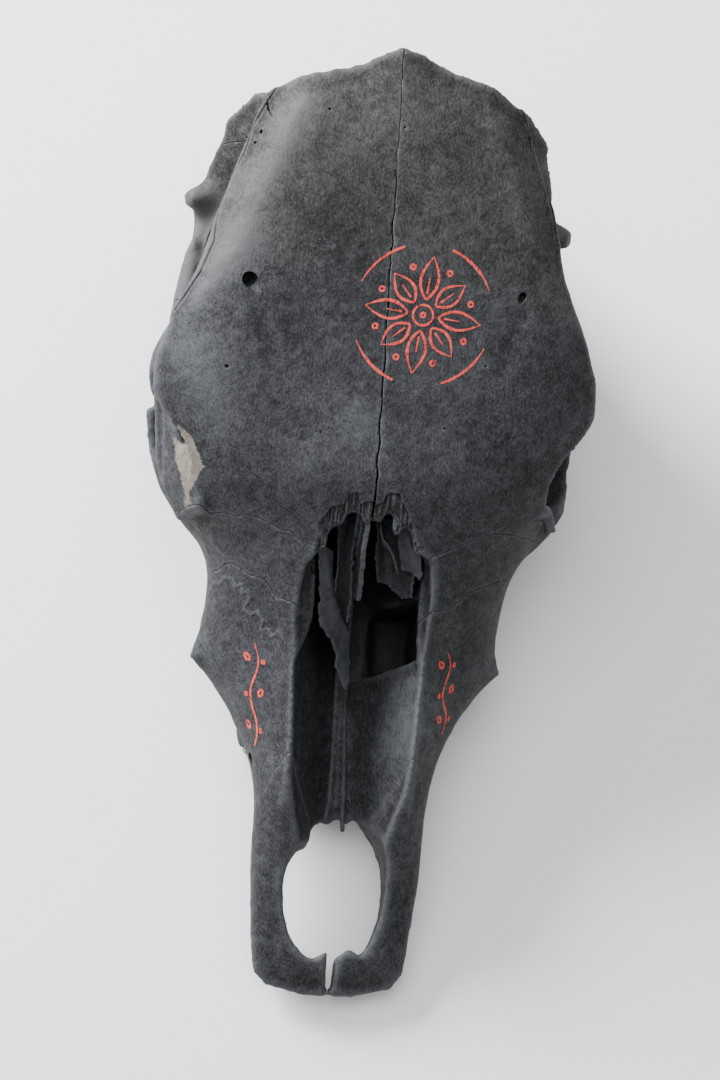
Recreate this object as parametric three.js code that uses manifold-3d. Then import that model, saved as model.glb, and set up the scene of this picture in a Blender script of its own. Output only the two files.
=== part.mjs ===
// Skull of a polled (hornless) cow without its lower jaw, weathered and painted black, with the nasal
// bones lost and a painted ornament left to the finish. Life size, in millimetres, +Z up.
// It lies on its cheek teeth and the processes beside the neck joint, nose towards -Y, forehead up.
// A station is a distance behind the front of the jaw; "right" is the animal's right, at -X.
import * as THREE from "three";
import { mergeVertices } from "three/addons/utils/BufferGeometryUtils.js";
import Module from "manifold-3d";

const wasm = await Module();
wasm.setup();

// Driving dimensions.
const MID_STATION = 228.5; // station of the origin, half way from the jaw's tip to the back of the head
const FACE_SLOPE = Math.tan(THREE.MathUtils.degToRad(15)); // forehead against the plane of the teeth
const SADDLE = 240; // station where the forehead meets the lost nasal bones
const SADDLE_HEIGHT = 143;
const POLL = 454; // station of the topmost point of the head
const SHIELD_START = 204;
const SUTURE = 0.32; // gap between neighbouring bones
const TEETH = 6;
const TOOTH_ROW = [125, 247];
const ORBIT = { station: 271, out: 112, deep: 74, height: 105, along: 33, tall: 26 };

const clamp = THREE.MathUtils.clamp;
const lerp = THREE.MathUtils.lerp;
const smooth = THREE.MathUtils.smoothstep;
const bump = (x, width) => Math.exp(-((x / width) ** 2));

// A smooth curve through [station, size] pairs, level beyond its ends.
function profile(...pairs) {
  const slope = pairs.map(([s, v], i) => {
    const a = pairs[i - 1];
    const b = pairs[i + 1];
    if (!a || !b) return 0;
    const before = (v - a[1]) / (s - a[0]);
    const after = (b[1] - v) / (b[0] - s);
    return before * after > 0 ? (2 * before * after) / (before + after) : 0;
  });
  return (s) => {
    const last = pairs.length - 1;
    if (s <= pairs[0][0]) return pairs[0][1];
    if (s >= pairs[last][0]) return pairs[last][1];
    const i = pairs.findIndex((p) => p[0] > s) - 1;
    const [s0, v0] = pairs[i];
    const [s1, v1] = pairs[i + 1];
    const h = s1 - s0;
    const t = (s - s0) / h;
    const ease = t * t * (3 - 2 * t);
    return lerp(v0, v1, ease) + h * t * (1 - t) * ((1 - t) * slope[i] - t * slope[i + 1]);
  };
}

// The solid inside a closed three.js geometry, turned right side out.
function solid(geometry) {
  const plain = geometry.clone();
  plain.deleteAttribute("normal");
  plain.deleteAttribute("uv");
  const merged = mergeVertices(plain, 1e-3);
  const vertProperties = new Float32Array(merged.attributes.position.array);
  const triVerts = new Uint32Array(merged.index.array);
  const made = new wasm.Manifold(new wasm.Mesh({ numProp: 3, vertProperties, triVerts }));
  if (made.volume() > 0) return made;
  for (let i = 0; i < triVerts.length; i += 3)
    [triVerts[i + 1], triVerts[i + 2]] = [triVerts[i + 2], triVerts[i + 1]];
  return new wasm.Manifold(new wasm.Mesh({ numProp: 3, vertProperties, triVerts }));
}

// The head is a little askew, as real ones are: the jaw front leans one way, the cheeks the other.
const jawLean = profile([0, -0.4], [70, -0.4], [120, 0]);
const cheekLean = profile([170, 0], [205, 3], [240, 2.6], [275, 0]);
const backLean = profile([350, 0], [400, 2.4], [440, 2.4]);
const askew = (s, z) =>
  jawLean(s) + cheekLean(s) * (1 - smooth(z, 96, 120)) + backLean(s) * (1 - smooth(z, 150, 172));

// Moves every corner of a geometry to where place(x, y, z) says; place works in stations along y.
// A sheet that cuts leans the same at every height, so that its two faces stay flat and apart.
function sculpt(geometry, place, level = null) {
  const p = geometry.attributes.position;
  for (let i = 0; i < p.count; i++) {
    const [x, s, z] = place(p.getX(i), p.getY(i), p.getZ(i));
    p.setXYZ(i, x + askew(s, level ?? z), s - MID_STATION, z);
  }
  return solid(geometry);
}

// A block with u, v, w from -1 to 1 across, along and up.
const block = (across, along, up, place, level) =>
  sculpt(new THREE.BoxGeometry(2, 2, 2, across, along, up), place, level);

// A ball given by its middle and its three radii.
const ball = ([x, s, z], [a, b, c], around = 10, rings = 7) =>
  sculpt(new THREE.SphereGeometry(1, around, rings), (u, v, w) => [x + a * u, s + b * v, z + c * w]);

// Draws the square's corners in towards a circle: 0 keeps the square, 1 makes the circle.
function rounded(u, w, share) {
  return [
    lerp(u, u * Math.sqrt(1 - (w * w) / 2), share),
    lerp(w, w * Math.sqrt(1 - (u * u) / 2), share),
  ];
}

// A rounded bar along points [x, station, z]; size(t) gives its half width and its half height.
function bar(points, size, sides = 8, steps = 10) {
  const line = new THREE.CatmullRomCurve3(points.map((p) => new THREE.Vector3(...p)));
  const whole = line.getPoint(1).sub(line.getPoint(0)).normalize();
  const level = Math.abs(whole.z) > 0.7 ? new THREE.Vector3(0, 1, 0) : new THREE.Vector3(0, 0, 1);
  return sculpt(new THREE.CylinderGeometry(1, 1, 1, sides, steps), (u, v, w) => {
    const t = clamp(v + 0.5, 0, 1);
    const ahead = line.getTangent(t);
    const side = new THREE.Vector3().crossVectors(ahead, level).normalize();
    const up = new THREE.Vector3().crossVectors(side, ahead);
    const [half, tall] = size(t);
    return line.getPoint(t).addScaledVector(side, u * half).addScaledVector(up, w * tall).toArray();
  });
}

const join = (...solids) => wasm.Manifold.union(solids);
const both = (make) => join(make(-1), make(1));
const mirrored = (side, points) => points.map(([x, ...rest]) => [side * x, ...rest]);

// Forehead: one broad shield over the eyes and the braincase, from the nose to the poll.
const roofLine = (s) => SADDLE_HEIGHT + (s - SADDLE) * FACE_SLOPE - 9 * smooth(s, 405, 462);
const shieldBreadth = profile(
  [204, 52], [222, 76], [240, 94], [262, 104.5], [275, 111], [292, 116], [312, 111], [330, 102],
  [345, 95.5], [370, 88.5], [386, 83.5], [408, 75], [430, 68], [445, 63],
);
const pollOutline = profile(
  [-66, 430], [-52, 438], [-36, 441], [-15, 446.5], [0, POLL], [15, 449], [36, 443], [52, 439], [66, 432],
);
const shieldFall = profile([204, 22], [240, 26], [290, 21], [330, 17], [400, 17], [450, 14]);

function roof(x, s) {
  const u = Math.abs(x) / shieldBreadth(s);
  const edge = shieldFall(s) * (0.35 * u ** 2 + 0.65 * u ** 6);
  const peak = 5 * bump(x, 16) * smooth(s, 395, 450);
  const brow = 2.5 * bump(u - 0.72, 0.2) * bump(s - 330, 70);
  return roofLine(s) - edge + peak + brow - 15 * (1 - smooth(s, 190, 250));
}

function makeShield() {
  const thick = profile([204, 14], [240, 18], [270, 15], [300, 14], [400, 15], [450, 17]);
  return block(16, 14, 2, (u, v, w) => {
    const back = pollOutline(u * 66);
    const s = lerp(SHIELD_START, back, (v + 1) / 2);
    const under = w < 0 ? 3.5 : w > 0 ? 1.2 : 0;
    const bend = Math.sin((u * Math.PI) / 2) * 0.35 + u * 0.65;
    const x = bend * (shieldBreadth(s) - under);
    const deep = lerp(thick(s) + 9, thick(s) - 5, bend ** 2);
    return [x, s, roof(x, s) - (deep * (1 - w)) / 2];
  });
}

// Face in front of the eyes: upper jaws, tear bones and the gap between the front jaw bones.
const faceTop = profile(
  [-4, 17], [8, 24], [30, 33], [55, 47], [75, 62], [92, 76], [112, 88], [138, 97], [165, 106],
  [190, 116], [208, 126], [224, 133], [240, 138], [268, 144],
);
const faceFoot = profile(
  [-4, 10], [20, 12], [60, 20], [105, 18], [130, 15], [240, 15], [254, 22], [262, 34], [268, 52],
);
const footBreadth = profile(
  [-4, 12], [-2, 26], [2, 34], [9, 38], [30, 40], [60, 41], [90, 40], [112, 45], [140, 56],
  [180, 64], [225, 68], [250, 64], [268, 44],
);
const crestBreadth = profile(
  [-4, 14], [-2, 27], [2, 35], [9, 39], [18, 40], [35, 41.5], [60, 43.5], [100, 45], [120, 51],
  [140, 61], [154, 71], [167, 81], [180, 78], [198, 77], [216, 76], [240, 72], [268, 54],
);
const flankBreadth = profile(
  [-4, 12], [-2, 23], [2, 31], [9, 36], [35, 39.5], [60, 42], [100, 43], [130, 48], [165, 58],
  [200, 72], [216, 80], [230, 90], [250, 94], [268, 84],
);
const topBreadth = profile(
  [-4, 9], [-2, 14], [2, 22], [12, 29], [40, 33], [70, 37], [90, 38], [110, 37], [150, 36],
  [180, 38], [200, 46], [216, 56], [232, 70], [250, 84], [268, 82],
);

function makeFace() {
  return block(8, 23, 6, (u, v, w) => {
    const s = lerp(-4, 268, ((v + 1) / 2) ** 1.3);
    const [a, b] = rounded(u, w, 0.55);
    const level = clamp((b + 1) / 2, 0, 1);
    const reach = profile(
      [0, footBreadth(s)], [0.34, crestBreadth(s)], [0.66, flankBreadth(s)], [1, topBreadth(s)],
    );
    return [a * reach(level) * 1.04, s, lerp(faceFoot(s), faceTop(s), level)];
  });
}

// Nose cavity: a trough open on top where the nasal bones are lost, then a tunnel under the forehead.
const cavityFloor = profile([10, 8], [70, 22], [92, 31], [120, 35], [200, 42], [262, 56], [292, 80]);
const cavityHalf = profile(
  [10, 22], [70, 30], [95, 35], [120, 34], [180, 35], [222, 31], [262, 27], [292, 18],
);

function makeCavity(inset = 0) {
  const roofing = (s) => 15 * (1 - smooth(s, 190, 250)) + lerp(6, 15, smooth(s, 226, 262));
  const tunnel = (s) => roofLine(s) - roofing(s) - inset;
  return block(6, 14, 4, (u, v, w) => {
    const s = lerp(18 + inset, 292 - 3 * inset, (v + 1) / 2);
    const open = 1 - smooth(s, 190, 209);
    const [a, b] = rounded(u, w, 0.7 - 0.5 * open);
    const level = (b + 1) / 2;
    const trough = profile([0, 0.3], [0.3, 0.72], [0.6, 1], [1, 0.92]);
    const top = lerp(tunnel(s), roofLine(s) + 30, open);
    return [a * (cavityHalf(s) * trough(level) - inset), s, lerp(cavityFloor(s) + inset, top, level)];
  });
}

// The outline [x, station] of a hole seen from above, as a solid between two heights.
function drop(outline, low, high, level) {
  const shape = new THREE.Shape(outline.map((p) => new THREE.Vector2(...p)));
  const made = new THREE.ExtrudeGeometry(shape, { depth: high - low, bevelEnabled: false });
  return sculpt(made, (x, s, z) => [x, s, low + z], level);
}

// The ragged front edge of the forehead over the nose.
const makeBreak = () =>
  drop([
    [-34, 176], [-30, 184], [-28, 190], [-26.5, 199], [-23.5, 206], [-22, 216], [-19.5, 220], [-15.5, 220],
    [-13.5, 224.5], [-10.5, 227], [-7.5, 225.5], [-3.5, 221], [0, 224], [4, 222], [7.5, 228], [10, 227],
    [10.5, 219], [13, 216.5], [17.5, 222], [20, 218.5], [23.5, 208], [24.5, 202], [28.5, 195], [34, 176],
  ], 112, 202);

// The hole in the front of the palate between the two front jaw bones, and the slit at their tip.
const makePalateHole = () =>
  join(
    drop([
      [-2.5, 17], [-10, 13], [-16, 17], [-22, 25], [-26, 36], [-27.5, 50], [-26, 61], [-21, 68],
      [-14, 72], [-13, 80], [-9, 85], [-4, 83], [1, 87], [6, 84], [10, 88], [16, 81], [21, 74],
      [25, 62], [26, 50], [25, 36], [21, 24], [16, 15], [10, 20], [5, 15],
    ], -10, 70),
    block(1, 1, 1, (u, v, w) => {
      const t = (v + 1) / 2;
      return [u * lerp(1.2, 3, t) + 0.8, lerp(-12, 22, t), 25 + 40 * w];
    }),
  );

// Hollow under the palate between the tooth rows.
function makeVault() {
  const half = profile([40, 16], [90, 22], [115, 28], [160, 35], [220, 40], [262, 38]);
  const height = profile([40, 16], [70, 23], [120, 27], [200, 31], [262, 33]);
  return block(8, 10, 2, (u, v, w) => {
    const s = lerp(40, 272, (v + 1) / 2);
    const crown = 1 - 0.55 * u ** 4;
    return [u * half(s), s, lerp(-20, height(s) * crown, (w + 1) / 2)];
  });
}

// Square pit broken into the floor of the nose on the left.
const makePit = () => block(2, 2, 1, (u, v, w) => [22.5 + 11.5 * u, 178 + 16 * v, 69 + 32 * w]);

// Eye socket.
const makeSocket = (side) =>
  sculpt(new THREE.SphereGeometry(1, 16, 10), (u, v, w) => {
    const open = 0.95 + 0.08 * u;
    return [
      side * (ORBIT.out + ORBIT.deep * u), ORBIT.station + ORBIT.along * v * open - 3 * (1 - u),
      ORBIT.height + ORBIT.tall * w * open,
    ];
  });

// Cheek bone: its body under the eye, the bar behind the eye and the arch back to the jaw joint.
const makeCheek = (side) =>
  join(
    bar(
      mirrored(side, [
        [56, 194, 60], [67, 212, 64], [75, 224, 70], [88, 237, 76], [98, 254, 79], [102, 290, 82],
      ]),
      (t) => [lerp(9, 12, t), lerp(19, 9, t)], 8, 9,
    ),
    bar(
      mirrored(side, [
        [102, 276, 82], [103, 306, 84], [99, 334, 86], [94, 362, 91], [88, 384, 98], [74, 398, 102],
      ]),
      (t) => [lerp(6, 4.5, smooth(t, 0, 0.4)) + 4 * t * t, 8 + 2 * Math.cos(t * 4)], 8, 10,
    ),
    bar(
      mirrored(side, [[105, 298, 82], [108, 302, 104], [107, 306, 122], [99, 314, 142]]),
      (t) => [6.5 + t, 8 + 5 * t * t], 8, 5,
    ),
  );

// Back of the head: a tall face whose edges flare out into a crest on each side.
const nuchalMiddle = profile(
  [40, 436], [70, 439], [90, 440], [110, 442], [130, 445], [166, 448], [180, 448],
);
const nuchalBreadth = profile(
  [40, 40], [58, 57], [75, 73], [90, 87], [105, 95], [118, 95], [130, 91], [140, 86], [150, 79],
  [166, 69], [180, 60],
);
const nuchalSweep = profile(
  [40, 14], [58, 22], [75, 30], [90, 38], [105, 42], [118, 32], [130, 20], [140, 14], [150, 9],
  [166, 13], [180, 19],
);
function nuchalBack(x, z) {
  const u = Math.abs(x) / nuchalBreadth(z);
  const hollow = 6 * bump(z - 116, 26) * bump(u - 0.5, 0.3);
  const knob = 4 * bump(x, 13) * bump(z - 152, 22);
  return nuchalMiddle(z) - nuchalSweep(z) * u ** 2.6 - hollow + knob;
}

// Braincase, from the narrow waist between the eye sockets to the back of the head.
function makeBraincase() {
  const half = profile([236, 36], [290, 38], [320, 46], [360, 59], [395, 65], [448, 66]);
  const foot = profile([236, 74], [270, 70], [330, 58], [400, 48], [448, 41]);
  const bulge = profile([0, 0.62], [0.4, 1], [0.75, 1.02], [1, 1.12]);
  return block(8, 12, 7, (u, v, w) => {
    const t = (v + 1) / 2;
    const s = lerp(236, 448, t);
    const flare = smooth(t, 0.72, 1) ** 1.5;
    const [a, b] = rounded(u, w, lerp(0.8, 0.25, flare));
    const level = (b + 1) / 2;
    const z = lerp(foot(s), roofLine(s) - 14, level);
    const x = a * lerp(half(s) * bulge(level), nuchalBreadth(z), flare);
    return [x, lerp(236, nuchalBack(x, z), t), z];
  });
}

// Root of the cheek arch over the jaw joint, and the stub of the ear passage, further back on the right.
function makeArchRoot(side) {
  const ear = side < 0 ? 393 : 387;
  return join(
    block(4, 4, 3, (u, v, w) => {
      const out = (u + 1) / 2;
      const [a, b] = rounded(v, w, 0.7);
      const [front, back] = [lerp(350, 372, out), lerp(432, 402, out)];
      return [
        side * lerp(54, 96, out), lerp(front, back, (a + 1) / 2), lerp(96, 99, out) + b * lerp(22, 9, out),
      ];
    }),
    bar(mirrored(side, [[50, 384, 82], [74, 386, 84], [92, 385, 94]]), () => [9, 7], 8, 3),
    bar(
      mirrored(side, [[76, ear + 10, 104], [90, ear + 5, 110], [103, ear, 115]]),
      (t) => [lerp(12, 6, t), lerp(12, 7, t)], 8, 3,
    ),
  );
}

// Floor of the braincase, the two knuckles of the neck joint, the process and the ear bulb beside each.
const makeNeck = () =>
  join(
    block(4, 6, 2, (u, v, w) => {
      const s = lerp(300, 440, (v + 1) / 2);
      const half = profile([300, 15], [360, 18], [400, 25], [430, 34], [440, 36]);
      const [a, b] = rounded(u, w, 0.7);
      return [a * half(s), s, lerp(46 - 8 * smooth(s, 380, 440), 76, (b + 1) / 2)];
    }),
    both((side) =>
      join(
        bar(
          mirrored(side, [[17, 424, 30], [23, 440, 33], [32, 445, 48], [37, 438, 66], [38, 426, 76]]),
          (t) => [11 + 6 * Math.sin(Math.PI * t), 12 + 4 * Math.sin(Math.PI * t)], 8, 8,
        ),
        bar(
          mirrored(side, [[64, 420, 92], [60, 424, 62], [54, 426, 30], [48, 421, -2]]),
          (t) => [lerp(16, 4.5, t ** 0.7), lerp(12, 7, t)], 8, 6,
        ),
        ball([side * 43, 399, 45], [9, 16, 17]),
      ),
    ),
  );
const makeNeckHole = () =>
  sculpt(new THREE.CylinderGeometry(1, 0.75, 1, 14, 1), (u, v, w) => [19 * u, 436 + 60 * v, 63 + 18 * w]);

// Wings of bone on each side of the inner nostrils.
const makeWing = (side) =>
  block(2, 7, 4, (u, v, w) => {
    const s = lerp(246, 340, (v + 1) / 2);
    const foot = profile([246, 27], [275, 26], [300, 21], [312, 26], [340, 56]);
    const out = lerp(28, 24, (v + 1) / 2) + 3 * w;
    return [side * (out + u * lerp(5, 3, (v + 1) / 2)), s, lerp(foot(s), 78, (w + 1) / 2)];
  });

// Cheek teeth: six crowns a side, close together, with ribbed sides and worn tops.
function makeTooth(side, i) {
  const [start, end] = TOOTH_ROW;
  const grow = (k) => start + ((end - start) * (k + 0.07 * k * k)) / (TEETH + 0.07 * TEETH ** 2);
  const [front, back] = [grow(i), grow(i + 1)];
  const wide = lerp(7.5, 10.5, Math.sqrt(i / (TEETH - 1)));
  const out = lerp(41, 54, Math.sqrt((i + 0.5) / TEETH));
  return block(2, 4, 1, (u, v, w) => {
    const [a, b] = rounded(u, v, 0.3);
    const rib = 1 + 0.1 * Math.cos(v * Math.PI * 2) * Math.abs(u);
    const worn = w < -0.9 ? 2.4 * (1 - Math.abs(u)) : 0;
    return [
      side * (out + a * wide * rib), lerp(front, back, (b * 1.03 + 1) / 2),
      lerp(-0.6 + worn, 24, (w + 1) / 2),
    ];
  });
}
const makeTeeth = (side) => join(...Array.from({ length: TEETH }, (_, i) => makeTooth(side, i)));
const makeFloor = () => block(1, 1, 1, (u, v, w) => [200 * u, 227 + 300 * v, -20 + 20 * w]);

// The skull as one body, without its teeth, before it is parted along its sutures.
function makeSkull() {
  const hollows = join(
    makeCavity(), makeBreak(), makePalateHole(), makeVault(), makePit(), makeNeckHole(),
    both(makeSocket), makeFloor(),
  );
  return join(
    makeShield(), makeFace(), makeBraincase(), makeNeck(), both(makeCheek), both(makeArchRoot),
    both(makeWing),
  ).subtract(hollows);
}

// A suture as a thin upright sheet over a line of [x, station], between two heights.
function fence(line, low, high, level) {
  const last = line.length - 1;
  return block(1, last, 1, (u, v, w) => {
    const i = Math.round(((v + 1) / 2) * last);
    const [x, s] = line[i];
    const [x0, s0] = line[Math.max(i - 1, 0)];
    const [x1, s1] = line[Math.min(i + 1, last)];
    const long = Math.hypot(x1 - x0, s1 - s0);
    const off = (u * SUTURE) / 2;
    return [x + (off * (s1 - s0)) / long, s - (off * (x1 - x0)) / long, w < 0 ? low(s) : high(s)];
  }, level);
}

// A suture as a thin sheet across the head over a line of [station, z] seen from the side.
function shelf(line, near, far) {
  const last = line.length - 1;
  return block(1, last, 1, (u, v, w) => {
    const i = Math.round(((v + 1) / 2) * last);
    const [s, z] = line[i];
    const [s0, z0] = line[Math.max(i - 1, 0)];
    const [s1, z1] = line[Math.min(i + 1, last)];
    const long = Math.hypot(s1 - s0, z1 - z0);
    const off = (w * SUTURE) / 2;
    return [u < 0 ? near : far, s - (off * (z1 - z0)) / long, z + (off * (s1 - s0)) / long];
  });
}

// Where the bones of one side meet. The under line parts the forehead and tear bones from all below.
const UNDER = [[170, 92], [246, 92], [300, 110], [340, 130], [400, 150], [470, 161]];
const TEAR_FRONT = [
  [20, 176], [28, 178], [37, 184], [45, 186], [52, 195], [60, 199], [70, 205], [85, 203], [120, 205],
];
const TEAR_BACK = [[12, 194], [20, 200], [30, 208], [40, 213], [60, 222], [80, 226], [120, 238]];
const bottom = () => -5;
const sky = () => 240;
const under = (s) => {
  const i = Math.max(UNDER.findIndex(([at]) => at > s), 1);
  const [[s0, z0], [s1, z1]] = [UNDER[i - 1], UNDER[i]];
  return lerp(z0, z1, (s - s0) / (s1 - s0));
};
const overUnder = (s) => under(s) + 1.2;
const belowUnder = (s) => under(s) - 1.2;

function makeSutures(side) {
  const wall = (line, low, high) => fence(mirrored(side, line), low, high, 100);
  const ahead = [[-2, 160], [-2, 175], ...TEAR_FRONT.map(([x, s]) => [x, s - 1.2]), [150, 204], [150, 160]];
  return join(
    shelf(UNDER, 0, side * 140).subtract(drop(mirrored(side, ahead), 60, 110, 100)),
    shelf([[66, -20], [66, 20], [98, 64], [122, 96], [134, 130]], 0, side * 80),
    wall(TEAR_FRONT, belowUnder, sky),
    wall(TEAR_BACK, belowUnder, sky),
    wall([[67, 203.2], [70, 205], [85, 203], [120, 205]], bottom, overUnder),
    wall([[69, 203.4], [69, 246], [69, 285]], bottom, overUnder),
    wall([[-1, 241], [32, 241], [32, 270], [32, 301]], bottom, overUnder),
    wall([[-1, 300], [54, 300], [54, 285], [54, 270]], bottom, overUnder),
    wall([
      [50, 300], [50, 340], [50, 360], [33, 386], [33, 411], [48, 413], [70, 417], [120, 424],
    ], bottom, overUnder),
    wall([[-1, 386], [34, 386]], bottom, overUnder),
    wall([[72, 343], [130, 347]], () => 40, () => 125),
  );
}

// Thin bones inside the nose, kept a suture's width off its walls.
const makeVomer = () =>
  block(4, 9, 1, (u, v, w) => {
    const s = lerp(81, 226, (v + 1) / 2);
    const half = profile([81, 4], [92, 7], [150, 6], [226, 3]);
    const tall = profile([81, 5], [95, 8], [150, 13], [190, 24], [226, 30]);
    const groove = w > 0 ? 0.6 * tall(s) * (1 - Math.abs(u)) : 0;
    return [u * half(s) - 1, s, cavityFloor(s) + (w > 0 ? tall(s) - groove : -3)];
  });
const makeSeptum = () =>
  block(1, 5, 3, (u, v, w) => {
    const s = lerp(184 + 12 * (1 - w), 262, (v + 1) / 2);
    const top = Math.min(roofLine(s) - 8, 122 + (s - 184) * 0.2);
    return [1.7 * u + 0.8 * Math.sin(s / 9), s, lerp(86, top, (w + 1) / 2)];
  });
const makeShred = (path, low, high, thick) =>
  block(1, path.length - 1, 3, (u, v, w) => {
    const i = Math.round(((v + 1) / 2) * (path.length - 1));
    const [x, s] = path[i];
    const frayed = w > 0.9 ? 2 - 5 * (i % 2) : 0;
    return [
      x + (u * thick) / 2 + 2.5 * (1 - w * w), s, lerp(low(s), high(s), (w + 1) / 2) + frayed,
    ];
  });
const makeLeftShred = () =>
  makeShred(
    [[23, 238], [21, 228], [23, 219], [19, 210], [22, 201], [18, 193], [13, 186]],
    profile([186, 98], [238, 100]), profile([186, 106], [238, 122]), 2.6,
  );
const makeRightShred = () =>
  makeShred(
    [[-26, 214], [-23, 203], [-21, 192], [-20, 180], [-16, 169], [-14, 158], [-11, 146]],
    (s) => cavityFloor(s) - 2, profile([146, 72], [170, 92], [214, 112]), 2.6,
  );

// The parted bones, each known by a point near its middle: [x, station, z].
const PAIRED = {
  frontal: [60, 325, 150],
  lacrimal: [60, 208, 110],
  zygomatic: [92, 276, 80],
  maxilla: [42, 160, 60],
  incisive: [24, 55, 45],
  palatine: [18, 270, 70],
  temporal: [70, 380, 92],
};
const SINGLE = { sphenoid: [0, 344, 90], occipital: [0, 425, 80] };

function partBones() {
  const sutures = join(
    both(makeSutures),
    fence([[0, -30], [0, 100], [0, 301]], bottom, sky, 200),
    fence([[0, 299], [0, 340], [0, 400], [0, 469]], belowUnder, sky, 200),
  );
  const pieces = makeSkull().subtract(sutures).decompose();
  const nearest = ([x, s, z]) => {
    const far = (piece) => {
      const { min, max } = piece.boundingBox();
      return Math.hypot(
        (min[0] + max[0]) / 2 - x, (min[1] + max[1]) / 2 - (s - MID_STATION), (min[2] + max[2]) / 2 - z,
      );
    };
    return pieces.filter((piece) => piece.volume() > 1000).sort((a, b) => far(a) - far(b))[0];
  };
  const bones = {};
  for (const [name, [x, s, z]] of Object.entries(PAIRED)) {
    bones[name + "_left"] = nearest([x, s, z]);
    bones[name + "_right"] = nearest([-x, s, z]);
  }
  for (const [name, at] of Object.entries(SINGLE)) bones[name] = nearest(at);
  const free = makeCavity(SUTURE);
  const largest = (made) => made.decompose().sort((a, b) => b.volume() - a.volume())[0];
  bones.maxilla_left = bones.maxilla_left.add(makeTeeth(1)).subtract(makeFloor());
  bones.maxilla_right = bones.maxilla_right.add(makeTeeth(-1)).subtract(makeFloor());
  bones.vomer = largest(makeVomer().intersect(free));
  bones.nasal_septum = largest(makeSeptum().intersect(free));
  bones.concha_left = largest(makeLeftShred().intersect(free));
  bones.concha_right = largest(makeRightShred().intersect(free));
  return bones;
}

const material = new THREE.MeshStandardMaterial({ color: 0x3a3c3f, roughness: 0.75, metalness: 0 });

function meshOf(name, made) {
  const { vertProperties, triVerts } = made.getMesh();
  const geometry = new THREE.BufferGeometry();
  geometry.setAttribute("position", new THREE.BufferAttribute(new Float32Array(vertProperties), 3));
  geometry.setIndex(new THREE.BufferAttribute(new Uint32Array(triVerts), 1));
  geometry.computeVertexNormals();
  const mesh = new THREE.Mesh(geometry, material);
  mesh.name = name;
  return mesh;
}

const skull = new THREE.Group();
for (const [name, made] of Object.entries(partBones())) skull.add(meshOf(name, made));
export default skull;
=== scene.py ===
import math

import bmesh
import bpy
import numpy as np
from mathutils import Matrix, Vector, noise
from mathutils.bvhtree import BVHTree


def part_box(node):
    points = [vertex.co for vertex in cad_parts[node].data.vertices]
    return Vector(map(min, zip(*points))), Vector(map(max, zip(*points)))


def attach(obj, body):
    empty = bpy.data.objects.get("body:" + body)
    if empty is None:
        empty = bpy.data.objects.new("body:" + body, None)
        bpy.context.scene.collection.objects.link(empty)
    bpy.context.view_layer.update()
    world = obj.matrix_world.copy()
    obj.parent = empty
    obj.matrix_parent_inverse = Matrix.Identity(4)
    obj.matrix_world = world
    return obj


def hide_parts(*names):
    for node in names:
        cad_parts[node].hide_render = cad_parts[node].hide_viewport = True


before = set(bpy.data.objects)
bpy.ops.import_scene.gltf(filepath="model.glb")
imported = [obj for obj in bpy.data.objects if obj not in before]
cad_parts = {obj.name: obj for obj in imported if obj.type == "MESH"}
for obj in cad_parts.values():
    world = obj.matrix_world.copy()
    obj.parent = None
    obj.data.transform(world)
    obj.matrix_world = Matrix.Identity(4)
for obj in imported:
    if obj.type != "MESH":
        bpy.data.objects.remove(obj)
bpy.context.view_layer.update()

# The head as one form: the skull of a polled cow without its lower jaw and nasal bones, dry bone.
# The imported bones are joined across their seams, cast as one skin and rounded off, but less where
# they turn sharply, so that rims, crests and broken edges stay.
MM = 0.001
MIDDLE = 228.5
NOSE_BONES = ("vomer", "nasal_septum", "concha_left", "concha_right")
HEAD_BONES = [name for name in sorted(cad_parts) if name not in NOSE_BONES]
OVERLAP = 0.2
CAST = 1.5


def at(x, station, z):
    return Vector((x, station - MIDDLE, z)) * MM


def smooth_step(value, low, high):
    share = np.clip((value - low) / (high - low), 0, 1)
    return share * share * (3 - 2 * share)


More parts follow.
